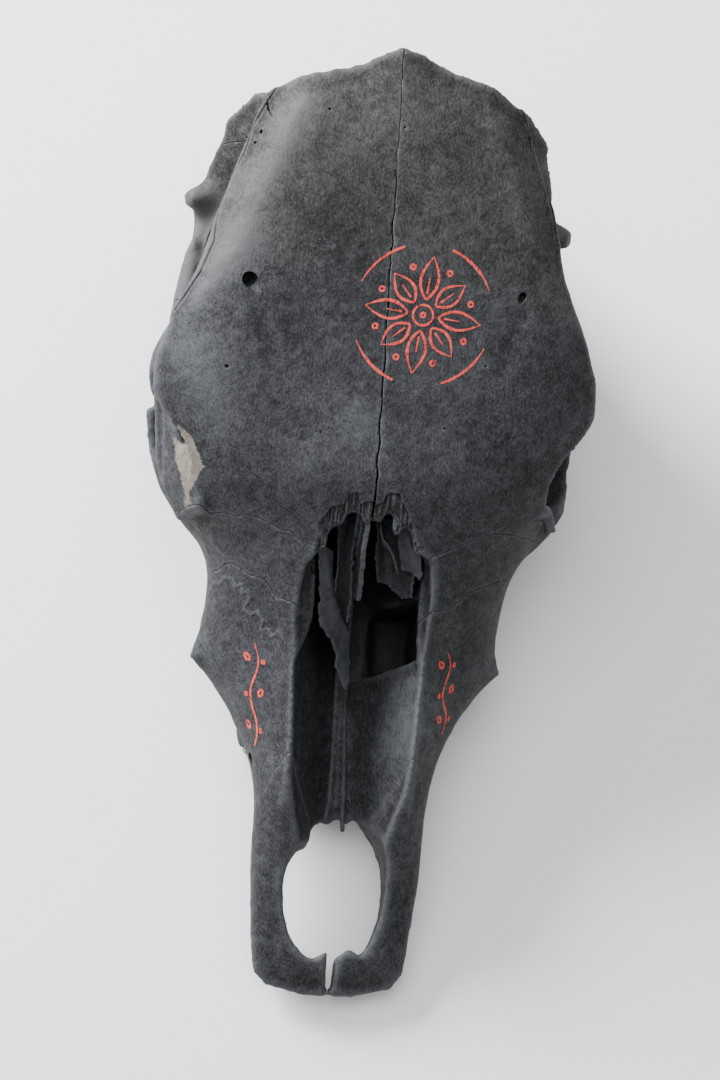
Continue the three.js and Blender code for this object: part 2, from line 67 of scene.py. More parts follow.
class Skin:
    """A mesh whose corners are kept as rows of x, station and height in millimetres."""

    def __init__(self, mesh):
        self.mesh = mesh
        self.count = len(mesh.vertices)
        flat = np.empty(3 * self.count)
        mesh.vertices.foreach_get("co", flat)
        self.points = flat.reshape(-1, 3) / MM + [0, MIDDLE, 0]
        ends = np.empty(2 * len(mesh.edges), np.int64)
        mesh.edges.foreach_get("vertices", ends)
        self.near, self.far = ends.reshape(-1, 2).T
        self.touching = np.bincount(ends, minlength=self.count)[:, None]

    def spread(self, values, rounds):
        """Each corner takes the mean of its neighbours' values."""
        for _ in range(rounds):
            sums = [
                np.bincount(self.near, column[self.far], self.count)
                + np.bincount(self.far, column[self.near], self.count)
                for column in values.T
            ]
            values = np.stack(sums, 1) / self.touching
        return values

    def relax(self, rounds, keep=1.0):
        """Rounds off small bumps and keeps the size: a step in, then a slightly longer step out."""
        for _ in range(rounds):
            for step in (0.6, -0.63):
                self.points += keep * step * (self.spread(self.points, 1) - self.points)

    def settle(self):
        self.mesh.vertices.foreach_set("co", ((self.points - [0, MIDDLE, 0]) * MM).ravel())
        self.mesh.update()
        return self.mesh

    def outward(self):
        self.settle()
        flat = np.empty(3 * self.count)
        self.mesh.vertices.foreach_get("normal", flat)
        return flat.reshape(-1, 3)

    def off_line(self, line, reach):
        """How far each corner is from a line through places, but no more than reach."""
        line = np.array(line, float)
        spots = self.points[:, : line.shape[1]]
        apart = np.full(self.count, float(reach))
        within = (spots > line.min(0) - reach) & (spots < line.max(0) + reach)
        close = np.nonzero(within.all(1))[0]
        for start, end in zip(line, line[1:]):
            run = end - start
            share = np.clip((spots[close] - start) @ run / (run @ run), 0, 1)
            gap = np.linalg.norm(spots[close] - start - share[:, None] * run, axis=1)
            apart[close] = np.minimum(apart[close], gap)
        return apart

    def ridge(self, line, high, wide, where=1.0):
        """Raises a rounded ridge along a line, or sinks a groove, on what faces up."""
        outward = self.outward()
        shape = np.exp(-((self.off_line(line, 3 * wide) / wide) ** 2))
        amount = high * shape * smooth_step(outward[:, 2], 0.0, 0.4) * where
        self.points += outward * amount[:, None]


def placed(name, data, material=None):
    """A new object of the scene, with its material where it has one."""
    made = bpy.data.objects.new(name, data)
    bpy.context.scene.collection.objects.link(made)
    if material:
        data.materials.append(material)
    return made


def worked(mesh, kind, **settings):
    """The mesh after one modifier."""
    holder = placed("holder", mesh)
    modifier = holder.modifiers.new(kind, kind)
    for name, value in settings.items():
        setattr(modifier, name, value)
    seen = holder.evaluated_get(bpy.context.evaluated_depsgraph_get())
    made = bpy.data.meshes.new_from_object(seen)
    bpy.data.objects.remove(holder)
    return made


def cast(mesh, voxel):
    return worked(mesh, "REMESH", mode="VOXEL", voxel_size=voxel * MM)


def cut(mesh, tool, operation="DIFFERENCE"):
    """The mesh less another closed mesh, or with it."""
    other = placed("tool", tool)
    made = worked(mesh, "BOOLEAN", operation=operation, solver="MANIFOLD", object=other)
    bpy.data.objects.remove(other)
    return made


def meshed(form, name):
    mesh = bpy.data.meshes.new(name)
    form.to_mesh(mesh)
    form.free()
    return mesh


def wrap(form, balls):
    """Adds the hull around balls of x, station, height and radius."""
    link = bmesh.new()
    for x, station, z, radius in balls:
        place = Matrix.Translation(at(x, station, z))
        bmesh.ops.create_icosphere(link, subdivisions=2, radius=radius * MM, matrix=place)
    bmesh.ops.delete(link, geom=link.edges[:], context="EDGES_FACES")
    hull = bmesh.ops.convex_hull(link, input=link.verts[:])
    inside = [part for part in hull["geom_interior"] if isinstance(part, bmesh.types.BMVert)]
    bmesh.ops.delete(link, geom=inside, context="VERTS")
    form.from_mesh(meshed(link, "link"))


def limb(form, balls):
    for ends in zip(balls, balls[1:]):
        wrap(form, ends)


def mirrored(side, points):
    return [(side * x, *rest) for x, *rest in points]


def box(form, low, high):
    """Adds a block between two corners of x, station and height."""
    low, high = at(*low), at(*high)
    place = Matrix.Translation((low + high) / 2) @ Matrix.Diagonal((*(high - low), 1))
    bmesh.ops.create_cube(form, size=1, matrix=place)


head = bmesh.new()
for name in HEAD_BONES:
    bone = bmesh.new()
    bone.from_mesh(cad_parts[name].data)
    bmesh.ops.remove_doubles(bone, verts=bone.verts, dist=1e-6)
    bone.normal_update()
    for corner in bone.verts:
        corner.co += corner.normal * OVERLAP * MM
    head.from_mesh(meshed(bone, name))

# The back of the head: knuckles of the neck joint, ear bulbs, the roots of the neck muscles and
# the bone hooks behind the palate, all solid bone, added to the form before it is cast.
for side in (-1, 1):
    limb(head, mirrored(side, [
        (15, 425, 33, 9), (22, 437, 38, 12), (28, 442, 50, 13), (33, 438, 62, 11), (37, 426, 74, 8),
    ]))
    limb(head, mirrored(side, [(37, 390, 42, 7), (40, 402, 38, 8), (42, 412, 42, 6)]))
    limb(head, mirrored(side, [(9, 392, 43, 6), (12, 400, 41, 6.5), (12, 410, 40, 4)]))
    limb(head, mirrored(side, [(24, 304, 26, 3.2), (25, 314, 22, 3), (25, 321, 23, 2.2)]))
    limb(head, mirrored(side, [(58, 366, 84, 5.5), (74, 369, 86, 6.5), (90, 372, 90, 5)]))

# The rims of the eye sockets, which differ: the right one is closed in front by a broad plate
# under the brow, and the left one by a small flap. Thin lips of bone stand in over the nose beside
# them, and a low bank edges the hole in its floor.
wrap(head, [
    (-88, 246, 119, 5), (-93, 258, 113, 4.5), (-84, 232, 111, 6), (-101, 262, 92, 5),
    (-101, 247, 91, 5), (-92, 232, 89, 6),
])
limb(head, [
    (-108, 292, 102, 4), (-105.5, 279, 94, 4.5), (-104.5, 264, 90, 4.8), (-102, 250, 88, 4.8),
])
limb(head, [(89, 238, 113, 5), (94, 239, 109, 3.6), (97, 234, 103, 3.4), (99, 230, 98, 3)])
limb(head, [
    (34, 214, 103, 2.6), (33, 203, 101, 3.2), (32.5, 190, 97, 3.4), (32.5, 176, 94, 3.2),
    (33, 162, 92, 3), (34, 150, 89, 2.6),
])
limb(head, [(11, 160, 38, 3.5), (11, 197, 40, 3.5)])
wrap(head, [
    (-33, 212, 108, 2.2), (-33, 158, 93, 2.2), (-25.5, 208, 104, 1.8), (-24.5, 190, 98.5, 1.8),
    (-25.5, 177, 96, 1.8), (-29, 166, 93.5, 1.8),
])
wrap(head, [
    (-101, 260, 92, 5), (-103, 276, 95, 4.5), (-105, 290, 99, 4), (-97, 260, 106, 4),
    (-99.5, 274, 106, 3.5), (-103.5, 287, 108, 3),
])

head_skin = Skin(cast(meshed(head, "head"), CAST))
head_skin.relax(12)
sharp = head_skin.points.copy()
soft = head_skin.spread(sharp, 60)
turned = smooth_step(np.linalg.norm(soft - sharp, axis=1, keepdims=True), 0.7, 2.4)
rear = smooth_step(head_skin.points[:, 1:2], 372, 392) * (head_skin.points[:, 2:] < 135)
turned = head_skin.spread(turned * (1 - 0.6 * rear), 12)
head_skin.points = soft * (1 - turned) + sharp * turned
head_skin.relax(4)

# What muscles and vessels leave on the bone: a groove from the hole over each eye down to the nose,
# the broad swell inside the edge of each temple, and hollows and a knob high on the back.
BROW_GROOVE = [(67.5, 326), (64, 312), (59, 298)]
TEMPLE_SWELL = [(50, 420), (55, 408.6), (64.6, 386), (76.6, 353.7), (95, 327)]
LUMP_SIZE = 7.0
LUMP_HEIGHT = 0.9
for side in (-1, 1):
    head_skin.ridge(mirrored(side, BROW_GROOVE), -0.8, 5.0)
    head_skin.ridge(mirrored(side, TEMPLE_SWELL), 1.8, 9.0)
x, station, z = head_skin.points.T
facing = head_skin.outward()[:, 1]
backward = smooth_step(facing, 0.25, 0.7) * smooth_step(station, 385, 400)


def patch(centre, radii):
    """A rounded rise of height 1 on the back wall."""
    return np.exp(-(((x - centre[0]) / radii[0]) ** 2) - ((z - centre[1]) / radii[1]) ** 2)


relief = 5.0 * patch((0, 147), (13, 9)) + 1.8 * patch((0, 118), (3.5, 22))
for side in (-1, 1):
    relief -= 3.4 * patch((side * 17, 120), (9, 17)) + 2.2 * patch((side * 42, 128), (12, 12))
    relief += 1.6 * patch((side * 29, 118), (3.5, 20))
lumps = [noise.noise(Vector(spot) / LUMP_SIZE) for spot in head_skin.points]
relief += LUMP_HEIGHT * np.array(lumps) * smooth_step(z, 80, 110)
head_skin.points += head_skin.outward() * (relief * backward)[:, None]

# The gum line of the jaw: the roots of the cheek teeth swell its side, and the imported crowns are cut
# off level with it, because the teeth are made on their own below.
TOOTH_ROW = (125, 247)
TEETH = 6
PREMOLARS = 3
LENGTHENING = 0.07
GUM = 14.5
ROOT_SWELL = 1.1
FINE_CAST = 1.2


def tooth_start(index):
    """Where a tooth begins: each one is a little longer than the one before it."""
    share = (index + LENGTHENING * index**2) / (TEETH + LENGTHENING * TEETH**2)
    return TOOTH_ROW[0] + (TOOTH_ROW[1] - TOOTH_ROW[0]) * share


for index in range(TEETH):
    front, end = tooth_start(index), tooth_start(index + 1)
    for share in (0.5,) if index < PREMOLARS else (0.27, 0.73):
        root = front + share * (end - front)
        swell = np.exp(-(((station - root) / 4.2) ** 2) - ((z - 25) / 14) ** 2)
        outward = head_skin.outward()
        swell *= smooth_step(np.sign(x) * outward[:, 0], 0.3, 0.8) * (np.abs(x) > 40)
        head_skin.points += outward * (ROOT_SWELL * swell)[:, None]
head_mesh = cast(head_skin.settle(), FINE_CAST)
crowns = bmesh.new()
for side in (-1, 1):
    ends = sorted((side * 27, side * 68))
    box(crowns, (ends[0], TOOTH_ROW[0] - 5, -9), (ends[1], TOOTH_ROW[1] + 6, GUM))
head_mesh = cut(head_mesh, meshed(crowns, "crowns"))

# Fine marks on the skin, where the mesh is made finer first: the raised cord along the edge of each
# temple, the torn and fluted bone over the nose, and the jagged seam beside it.
CORD_LEFT = [
    (-59.7, 437.3), (-67.9, 423), (-73.2, 413.2), (-76.6, 399.7), (-82.7, 386.9), (-87, 376),
    (-88.5, 365.6), (-89, 355.2), (-95, 339.3), (-102.2, 327.6), (-106.6, 320.9),
]
CORD_RIGHT = [(64.9, 432.1), (69.8, 422.6), (76.1, 408.5), (81.3, 393.9), (84.5, 381.3), (88, 366)]
SCALLOPS = [
    (-26, 221), (-21.4, 227.7), (-18, 228.8), (-15, 229.4), (-13.5, 234), (-9.5, 234.9),
    (-8.5, 234.7), (-6.8, 229.4), (-4.4, 230.9), (-1.4, 231.5), (1.8, 229.9), (4.7, 231.4),
    (5.9, 234.7), (7.8, 235.7), (12.5, 235.5), (14.4, 232), (17.6, 227.7), (20.5, 221.2), (24, 212),
]
TEAR_SEAM = [
    (-75.7, 196.9), (-73.5, 199), (-71.5, 197.2), (-69.5, 199.6), (-66.5, 198.2), (-63.6, 194.2),
    (-61, 195), (-60.2, 190.6), (-57.5, 191.4), (-57, 187), (-59, 183.5), (-55.5, 180.2),
    (-52.6, 181.4), (-49.5, 176.6), (-50, 172.4), (-46, 172.2), (-44.6, 168.6), (-41.6, 170.8),
    (-39, 167),
]
BROW_HOLES = [[(-70.7, 333.7), (-66.3, 327.5)], [(68.8, 338.9), (67.6, 330.8)]]
FLUTE_WIDTH = 1.9
FLUTE_LENGTH = 17.0
DEEPEST_FLUTE = 2.4


def finer(mesh, chosen, cuts):
    """The mesh with its faces cut smaller where both ends of an edge are chosen."""
    form = bmesh.new()
    form.from_mesh(mesh)
    form.edges.ensure_lookup_table()
    skin = Skin(mesh)
    picked = np.nonzero(chosen[skin.near] & chosen[skin.far])[0]
    edges = [form.edges[index] for index in picked]
    bmesh.ops.subdivide_edges(form, edges=edges, cuts=cuts, use_grid_fill=True)
    return meshed(form, "finer")


fine = Skin(head_mesh)
x, station, z = fine.points.T
above = (fine.outward()[:, 2] > 0.1) & (z > 70)
chosen = (np.abs(x) < 25) & (station > 208) & (station < 242) & (z > 100)
for line in (CORD_LEFT, CORD_RIGHT, TEAR_SEAM):
    chosen |= (fine.off_line(line, 4) < 3.4) & above
for line in BROW_HOLES:
    chosen |= (fine.off_line(line, 9) < 8) & above & (z > 140)
fine = Skin(finer(head_mesh, chosen, 2))
x, station, z = fine.points.T
fine.relax(2, (fine.off_line([(0, 208), (0, 242)], 26) < 25)[:, None] * (z > 100)[:, None])
for line in (CORD_LEFT, CORD_RIGHT):
    fine.ridge(line, 1.1, 1.7)
    fine.ridge(line, -0.8, 0.55)
for line in BROW_HOLES:
    fine.ridge(line, 0.5, 6.5)
frayed = np.array([noise.noise(Vector((a / 2.1, b / 2.1, 5))) for a, b in zip(x, station)])
fine.ridge(TEAR_SEAM, 0.36, 0.8, 0.9 + 0.8 * frayed)

past = np.interp(x, *zip(*SCALLOPS)) - station
band = smooth_step(past, -0.1, 0.9) * smooth_step(fine.outward()[:, 2], 0.1, 0.5)
band *= (np.abs(x) < 27) & (z > 100) & (station > 200)
flutes = np.zeros(fine.count)
for index in np.nonzero(band > 0)[0]:
    a, b = x[index], station[index]
    split = abs(noise.noise(Vector((a / FLUTE_WIDTH + 0.02 * b, b / FLUTE_LENGTH, 2))))
    patchy = noise.noise(Vector((a / 4.0, b / 6.0, 9)))
    flutes[index] = 0.9 + 1.3 * (0.5 - split * 1.6) - 0.9 * patchy
fine.points -= fine.outward() * (band * np.clip(flutes, 0, DEEPEST_FLUTE))[:, None]

# Weathering: every free edge of the bone is chipped a little, and its whole skin is dented and
# waves, as dry bone does that has lain outdoors.
CHIP_SIZE = 2.6
CHIP_DEPTH = 0.5
WAVE_SIZE = 6.5
WAVE_DEPTH = 0.22
DENT_DEPTH = 0.07


def bumps(skin, size):
    return np.array([noise.noise(Vector(spot) / size) for spot in skin.points])


bent = np.linalg.norm(fine.spread(fine.points, 5) - fine.points, axis=1)
ragged = smooth_step(bent, 0.25, 0.8)
chips = bumps(fine, CHIP_SIZE) + 0.6 * bumps(fine, CHIP_SIZE / 2)
rough = CHIP_DEPTH * chips * ragged + WAVE_DEPTH * bumps(fine, WAVE_SIZE) + DENT_DEPTH * chips
fine.points += fine.outward() * rough[:, None]
head_mesh = fine.settle()

# Holes and slits cut into the skin: the vessel hole over each eye and on each cheek, slits along the
# temples and in the broken edge over the nose, and scattered pits, all open in the dry bone.
SLITS = [
    ([(-66.6, 427), (-65.4, 421.5), (-63.8, 416)], 1.5),
    ([(-79, 416.8), (-76, 415.4), (-74.5, 413)], 0.6),
    ([(68.2, 430), (69.4, 424), (70, 417.5), (70.3, 411)], 1.6),
    ([(78, 406), (80.5, 397), (83, 388), (84.8, 381)], 1.4),
    ([(77, 419), (78.7, 412), (80.3, 404)], 2.0),
    ([(-9.2, 231), (-9.6, 227), (-8.8, 223.5)], 0.9),
    ([(5.2, 231), (4.0, 226.5), (3.1, 223.6)], 0.9),
    ([(10.6, 231.5), (10.2, 225), (10, 217)], 1.0),
    ([(13.0, 227.5), (14.8, 221.5)], 0.9),
    ([(-20.4, 221), (-19, 226.5)], 0.8),
]
PITS = [
    (-68.6, 409.7, 1.0), (-71.2, 404.4, 0.8), (2.5, 413, 0.7), (-8, 372.9, 0.6), (-72.4, 419.2, 0.7),
    (-35.7, 420.1, 0.7), (-79.3, 291.8, 1.0), (52, 300, 0.6), (-30, 262, 0.5), (33, 268, 0.6),
]
OVERHEAD = 230.0
OVER_SKIN = 0.8
HOLE_CAST = 0.6


def touch(tree, x, station):
    """Height of the skin under a place."""
    found = tree.ray_cast(at(x, station, OVERHEAD), Vector((0, 0, -1)))[0]
    return found.z / MM


def loft(form, rings):
    """Joins rings of corners, one after the other, into a closed form."""
    for first, second in zip(rings, rings[1:]):
        for step in range(len(first)):
            following = (step + 1) % len(first)
            form.faces.new([first[step], second[step], second[following], first[following]])
    form.faces.new(rings[0])
    form.faces.new(rings[-1][::-1])
    bmesh.ops.recalc_face_normals(form, faces=form.faces)


def lengths(line):
    """How far along a line each of its places is."""
    return np.concatenate([[0], np.cumsum(np.linalg.norm(np.diff(line, axis=0), axis=1))])


def wedge(form, line, wide, deep, tree):
    """Adds a blade along a line on the skin: wide on top, sharp at its foot and at both ends."""
    line = np.array(line, float)
    run = lengths(line)
    count = max(4, int(run[-1] / 1.2))
    rows = []
    for step in range(count + 1):
        share = step / count
        place = [np.interp(share * run[-1], run, line[:, axis]) for axis in (0, 1)]
        ahead = [np.interp(min(share + 0.02, 1) * run[-1], run, line[:, axis]) for axis in (0, 1)]
        behind = [np.interp(max(share - 0.02, 0) * run[-1], run, line[:, axis]) for axis in (0, 1)]
        forward = np.subtract(ahead, behind) / np.linalg.norm(np.subtract(ahead, behind))
        shift = noise.noise(Vector((place[0] / 2.3, place[1] / 2.3, 1)))
        half = wide / 2 * (0.15 + 0.85 * math.sin(math.pi * share) ** 0.6) * (1 + 0.7 * shift)
        x, station = np.array(place) + np.array([forward[1], -forward[0]]) * 0.5 * shift
        top = touch(tree, x, station)
        across = np.array([forward[1], -forward[0]]) * half
        rows.append([
            form.verts.new(at(x + across[0], station + across[1], top + OVER_SKIN)),
            form.verts.new(at(x - across[0], station - across[1], top + OVER_SKIN)),
            form.verts.new(at(x, station, top - deep * (0.3 + 0.7 * math.sin(math.pi * share)))),
        ])
    loft(form, rows)


whole = bmesh.new()
whole.from_mesh(head_mesh)
skin_tree = BVHTree.FromBMesh(whole)
whole.free()
openings = bmesh.new()
limb(openings, [(-65.6, 325.5, 168, 2.9), (-70.5, 334, 166, 4.2), (-72.5, 338, 159, 3.4)])
limb(openings, [(67.2, 328.5, 169, 1.5), (68.6, 334.6, 167, 2.2), (69.8, 340.5, 163, 2.0)])
for side in (-1, 1):
    limb(openings, mirrored(side, [(55, 102, 47, 3.3), (43, 120, 52, 3.2), (38, 130, 54, 2.4)]))
head_mesh = cut(head_mesh, cast(meshed(openings, "openings"), HOLE_CAST))
splits = bmesh.new()
for line, wide in SLITS:
    blade = bmesh.new()
    wedge(blade, line, wide, 3.2 * wide + 1, skin_tree)
    splits.from_mesh(meshed(blade, "blade"))
for pit_x, pit_station, radius in PITS:
    centre = at(pit_x, pit_station, touch(skin_tree, pit_x, pit_station) - 0.3)
    place = Matrix.Translation(centre)
    bmesh.ops.create_icosphere(splits, subdivisions=2, radius=radius * MM, matrix=place)
head_mesh = cut(head_mesh, meshed(splits, "splits"))

# The bones: grown together at their seams in life, here parted by thin gaps. Each gap is a sheet
# through the whole head that wanders, from one fixed seed, as a real seam does, and what lies
# between the sheets is a bone.
SEAM = 0.34
SEAM_STEP = 2.2
CRUMB = 2000
UNDER_FOREHEAD = [(170, 92), (246, 92), (300, 110), (340, 130), (400, 150), (470, 161)]
TEAR_BONE_FRONT = [
    (20, 176), (28, 178), (37, 184), (45, 186), (52, 195), (60, 199), (70, 205), (85, 203), (120, 205),
]
TEAR_BONE_BACK = [(12, 194), (20, 200), (30, 208), (40, 213), (60, 222), (80, 226), (120, 238)]
JAW_FRONT = [(-20, 66), (20, 66), (64, 98), (96, 122), (130, 134)]
ARCH_SEAM = [(72, 343), (130, 347)]
SPLIT_WIDTH = [(219, 1.3), (245, 1.15), (275, 0.85), (330, 0.75), (380, 0.6), (396, 0.2)]
UPRIGHT_SEAMS = [
    [(67, 203.2), (70, 205), (85, 203), (120, 205)],
    [(69, 203.4), (69, 246), (69, 285)],
    [(-1, 241), (32, 241), (32, 270), (32, 301)],
    [(-1, 300), (54, 300), (54, 285), (54, 270)],
    [(50, 300), (50, 340), (50, 360), (33, 386), (33, 411), (48, 413), (70, 417), (120, 424)],
    [(-1, 386), (34, 386)],
]
SEED = 11
noise.seed_set(SEED)


def along(pairs, place):
    return float(np.interp(place, *zip(*pairs)))


def lean(station, level):
    """The head is a little askew: how far its middle stands aside at a station and height."""
    jaw = along([(0, -0.4), (70, -0.4), (120, 0)], station)
    cheek = along([(170, 0), (205, 3), (240, 2.6), (275, 0)], station)
    back = along([(350, 0), (400, 2.4), (440, 2.4)], station)
    low = 1 - smooth_step(level, 96, 120)
    return jaw + cheek * low + back * (1 - smooth_step(level, 150, 172))


def wander(x, station, z):
    spot = Vector((x, station, z))
    coarse = noise.noise_vector(spot / 9.0)
    fine = noise.noise_vector(spot / 3.1 + Vector((40, 7, 3)))
    return spot + coarse * 1.3 + fine * 0.42


def sheet(wide, tall, place):
    """A closed plate as thick as a seam over place(u, v), with u and v from 0 to 1."""
    plate = bmesh.new()
    bmesh.ops.create_grid(plate, x_segments=wide, y_segments=tall, size=0.5)
    for corner in plate.verts:
        spot = wander(*place(corner.co.x + 0.5, corner.co.y + 0.5))
        corner.co = at(*spot)
    return worked(meshed(plate, "sheet"), "SOLIDIFY", thickness=SEAM * MM, offset=0, use_rim=True)


def steps(long):
    return max(2, round(long / SEAM_STEP))


def upright(line, low, high, level):
    """A seam that stands over a line of x and station, from low(station) to high."""
    line = np.array(line, float)
    run = lengths(line)

    def place(u, v):
        x = np.interp(u * run[-1], run, line[:, 0])
        station = np.interp(u * run[-1], run, line[:, 1])
        bottom = low(station)
        return x + lean(station, level), station, bottom + v * (high(station) - bottom)

    tall = max(high(s) - low(s) for s in line[:, 1])
    return sheet(steps(run[-1]), steps(tall), place)


def under_height(station):
    return along(UNDER_FOREHEAD, station)


def forehead_shelf(side):
    front = [(-2, 173), (19, 174)] + [(x, s - 1.2) for x, s in TEAR_BONE_FRONT] + [(150, 204)]

    def place(u, v):
        x = 141.5 * u - 1.5
        start = along(front, x)
        station = start + v * (470 - start)
        return side * x + lean(station, 100), station, under_height(station)

    return sheet(steps(140), steps(300), place)


def jaw_front_seam(side):
    def place(u, v):
        height = JAW_FRONT[0][0] + (JAW_FRONT[-1][0] - JAW_FRONT[0][0]) * v
        station = along(JAW_FRONT, height)
        return side * (81.5 * u - 1.5) + lean(station, height), station, height

    return sheet(steps(80), steps(170), place)


def open_split():
    """A blade down the middle of the forehead, as wide as the split is at each station."""
    blade = bmesh.new()
    stations = np.arange(SPLIT_WIDTH[0][0], SPLIT_WIDTH[-1][0], SEAM_STEP)
    rows = []
    for station in stations:
        top = along([(219, 136), (262, 150), (396, 186)], station)
        row = []
        for side, height in ((1, 4), (1, -4), (1, -12), (-1, -12), (-1, -4), (-1, 4)):
            spot = wander(lean(station, 200), station, top + height)
            torn = 1 + 0.4 * noise.noise(Vector((station / 4, 0, side)))
            spot.x += side * along(SPLIT_WIDTH, station) / 2 * torn
            row.append(blade.verts.new(at(*spot)))
        rows.append(row)
    loft(blade, rows)
    return meshed(blade, "split")


def just_over(station):
    return under_height(station) + 1.2


def just_below(station):
    return under_height(station) - 1.2


def level_at(height):
    """A height that is the same at every station."""
    return lambda station: height


ground = level_at(-5.0)
sky = level_at(215.0)
seams = []
for side in (-1, 1):
    seams += [forehead_shelf(side), jaw_front_seam(side)]
    for line in (TEAR_BONE_FRONT, TEAR_BONE_BACK):
        seams.append(upright(mirrored(side, line), just_below, sky, 100))
    for line in UPRIGHT_SEAMS:
        seams.append(upright(mirrored(side, line), ground, just_over, 100))
    seams.append(upright(mirrored(side, ARCH_SEAM), level_at(40.0), level_at(125.0), 100))
seams.append(upright([(0, -30), (0, 301)], ground, sky, 200))
seams.append(upright([(0, 299), (0, 469)], just_below, sky, 200))
seams.append(open_split())
all_seams = seams[0]
for seam in seams[1:]:
    all_seams = cut(all_seams, seam, "UNION")

parted = placed("bones", cut(head_mesh, all_seams))
bpy.ops.object.select_all(action="DESELECT")
bpy.context.view_layer.objects.active = parted
parted.select_set(True)
bpy.ops.mesh.separate(type="LOOSE")
pieces = []
for piece in list(bpy.context.selected_objects):
    if len(piece.data.polygons) > CRUMB:
        pieces.append(piece)
    else:
        bpy.data.objects.remove(piece)


def middle(corners):
    corners = np.array(corners)
    return (corners.min(0) + corners.max(0)) / 2


homes = {name: middle(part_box(name)) for name in HEAD_BONES}
bones = {}
for piece in pieces:
    place = middle([list(corner) for corner in piece.bound_box])
    name = min(homes, key=lambda other: np.linalg.norm(homes[other] - place))
    piece.name = name + "_bone"
    piece.data.name = piece.name
    bones[name] = piece
    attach(piece, "root")
    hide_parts(name)

# How worn each place is, kept on the bones for the paint: crests rub grey and hollows stay dark, and
# the listed zones are made paler, most of them painted highlights on the left of the forehead, where
# the light falls. The painted shade inside the nose is kept too, and the patch of bare bone is kept as
# the distance in millimetres inside its outline.
BARE_PATCH = [
    (-101, 266), (-94, 260.5), (-89, 250.9), (-86.6, 245.6), (-91, 238.7), (-92.5, 233),
    (-96.6, 243.8), (-99, 255),
]
BARE_FLECKS = [[(-92.8, 236), (-91.5, 231)]]
# Zones made paler where they face up. The first four, along the left temple and over the left brow,
# are painted highlights where the light from the upper left falls. The fifth, along the seam beside
# the nose, is rubbed paint, and the last two are simply paler.
RUBBED_AND_LIT = [
    ([(-84, 392), (-93, 372), (-99, 352)], 9, 1.0),
    ([(-50, 420), (-64.6, 386), (-76.6, 353.7)], 11, 0.75),
    ([(-76.6, 353.7), (-99, 325)], 12, 0.6),
    ([(-95, 300), (-80, 262)], 12, 0.35),
    (TEAR_SEAM, 0.9, 0.4),
    ([(-12, 268), (-36, 252)], 12, 0.3),
    ([(30, 150), (26, 120)], 11, 0.5),
]


def inside(points, outline):
    """Distance in from an outline of x and station, below nought outside it."""
    spots = points[:, :2]
    outline = np.array(outline, float)
    crossed = np.zeros(len(spots), bool)
    nearest = np.full(len(spots), 99.0)
    for start, end in zip(outline, np.roll(outline, -1, 0)):
        run = end - start
        share = np.clip((spots - start) @ run / (run @ run), 0, 1)
        nearest = np.minimum(nearest, np.linalg.norm(spots - start - share[:, None] * run, axis=1))
        spans = (start[1] > spots[:, 1]) != (end[1] > spots[:, 1])
        slope = run[0] / (run[1] if run[1] else 1e-9)
        crossed ^= spans & (spots[:, 0] < start[0] + (spots[:, 1] - start[1]) * slope)
    return np.where(crossed, nearest, -nearest)


def keep(mesh, name, values):
    """Gives each corner of the mesh a value that its paint can read."""
    mesh.attributes.new(name, "FLOAT", "POINT").data.foreach_set("value", values.astype(np.float32))


def weather(piece, lift=0.0, shade_strength=1.0):
    """Keeps the wear of a piece, with its painted highlights, and the painted shade inside the nose:
    lift makes it paler, and shut is how dark that painted shade is.
    """
    skin = Skin(piece.data)
    outward = skin.outward()
    x, station, z = skin.points.T
    rise = ((skin.points - skin.spread(skin.points, 3)) * outward).sum(1)
    swell = ((skin.points - skin.spread(skin.points, 16)) * outward).sum(1)
    worn = np.clip(1.5 * rise, -0.5, 0.22) + np.clip(0.16 * swell, -0.25, 0.2)
    up = smooth_step(outward[:, 2], -0.1, 0.4)
    # Painted highlights and rubbed paint: each listed zone lifts the worn value where the bone faces
    # up.
    for line, wide, much in RUBBED_AND_LIT:
        worn += 0.55 * much * up * np.exp(-((skin.off_line(line, 3 * wide) / wide) ** 2))
    in_nose = (np.abs(x) < 38) * smooth_step(station, 150, 176) * (1 - smooth_step(z, 84, 112))
    # The worn value holds rubbed crests, the dark of the hollows and the painted highlights of the
    # listed zones.
    keep(piece.data, "worn", skin.spread(worn[:, None], 1)[:, 0] + lift)
    in_pit = (np.abs(x - 22.5) < 13) * (np.abs(station - 178) < 18) * (z < 58)
    # Painted shade: the inside of the nose and a pit low in it are darkened, standing in for the
    # shadow that falls there.
    painted_shade = np.maximum(0.7 * in_nose, in_pit) * (1 - smooth_step(station, 300, 330))
    keep(piece.data, "deep", painted_shade * shade_strength)
    bare = inside(skin.points, BARE_PATCH)
    for line in BARE_FLECKS:
        bare = np.maximum(bare, 1.2 - skin.off_line(line, 9))
    keep(piece.data, "bare", np.where(z > 80, bare, -9.0))
    for face in piece.data.polygons:
        face.use_smooth = True


for piece in bones.values():
    weather(piece)

# Paint on the bone: matt black rubbed over the whole skull with a dry brush, worn to a bluish grey
# where it stands proud and paler still in the painted highlights on the left, with the fine grain of
# weathered bone showing through it. Inside the nose it turns near black as painted shade.
BLACK = (0.0042, 0.0044, 0.0054, 1)
GREY = (0.062, 0.066, 0.074, 1)
WARM = (1.12, 1.04, 0.9, 1)
BARE_DARK = (0.075, 0.064, 0.05, 1)
BARE_PALE = (0.17, 0.158, 0.135, 1)
# Near black for the painted shade inside the nose.
SHADE_BLACK = (0.004, 0.004, 0.0035, 1)


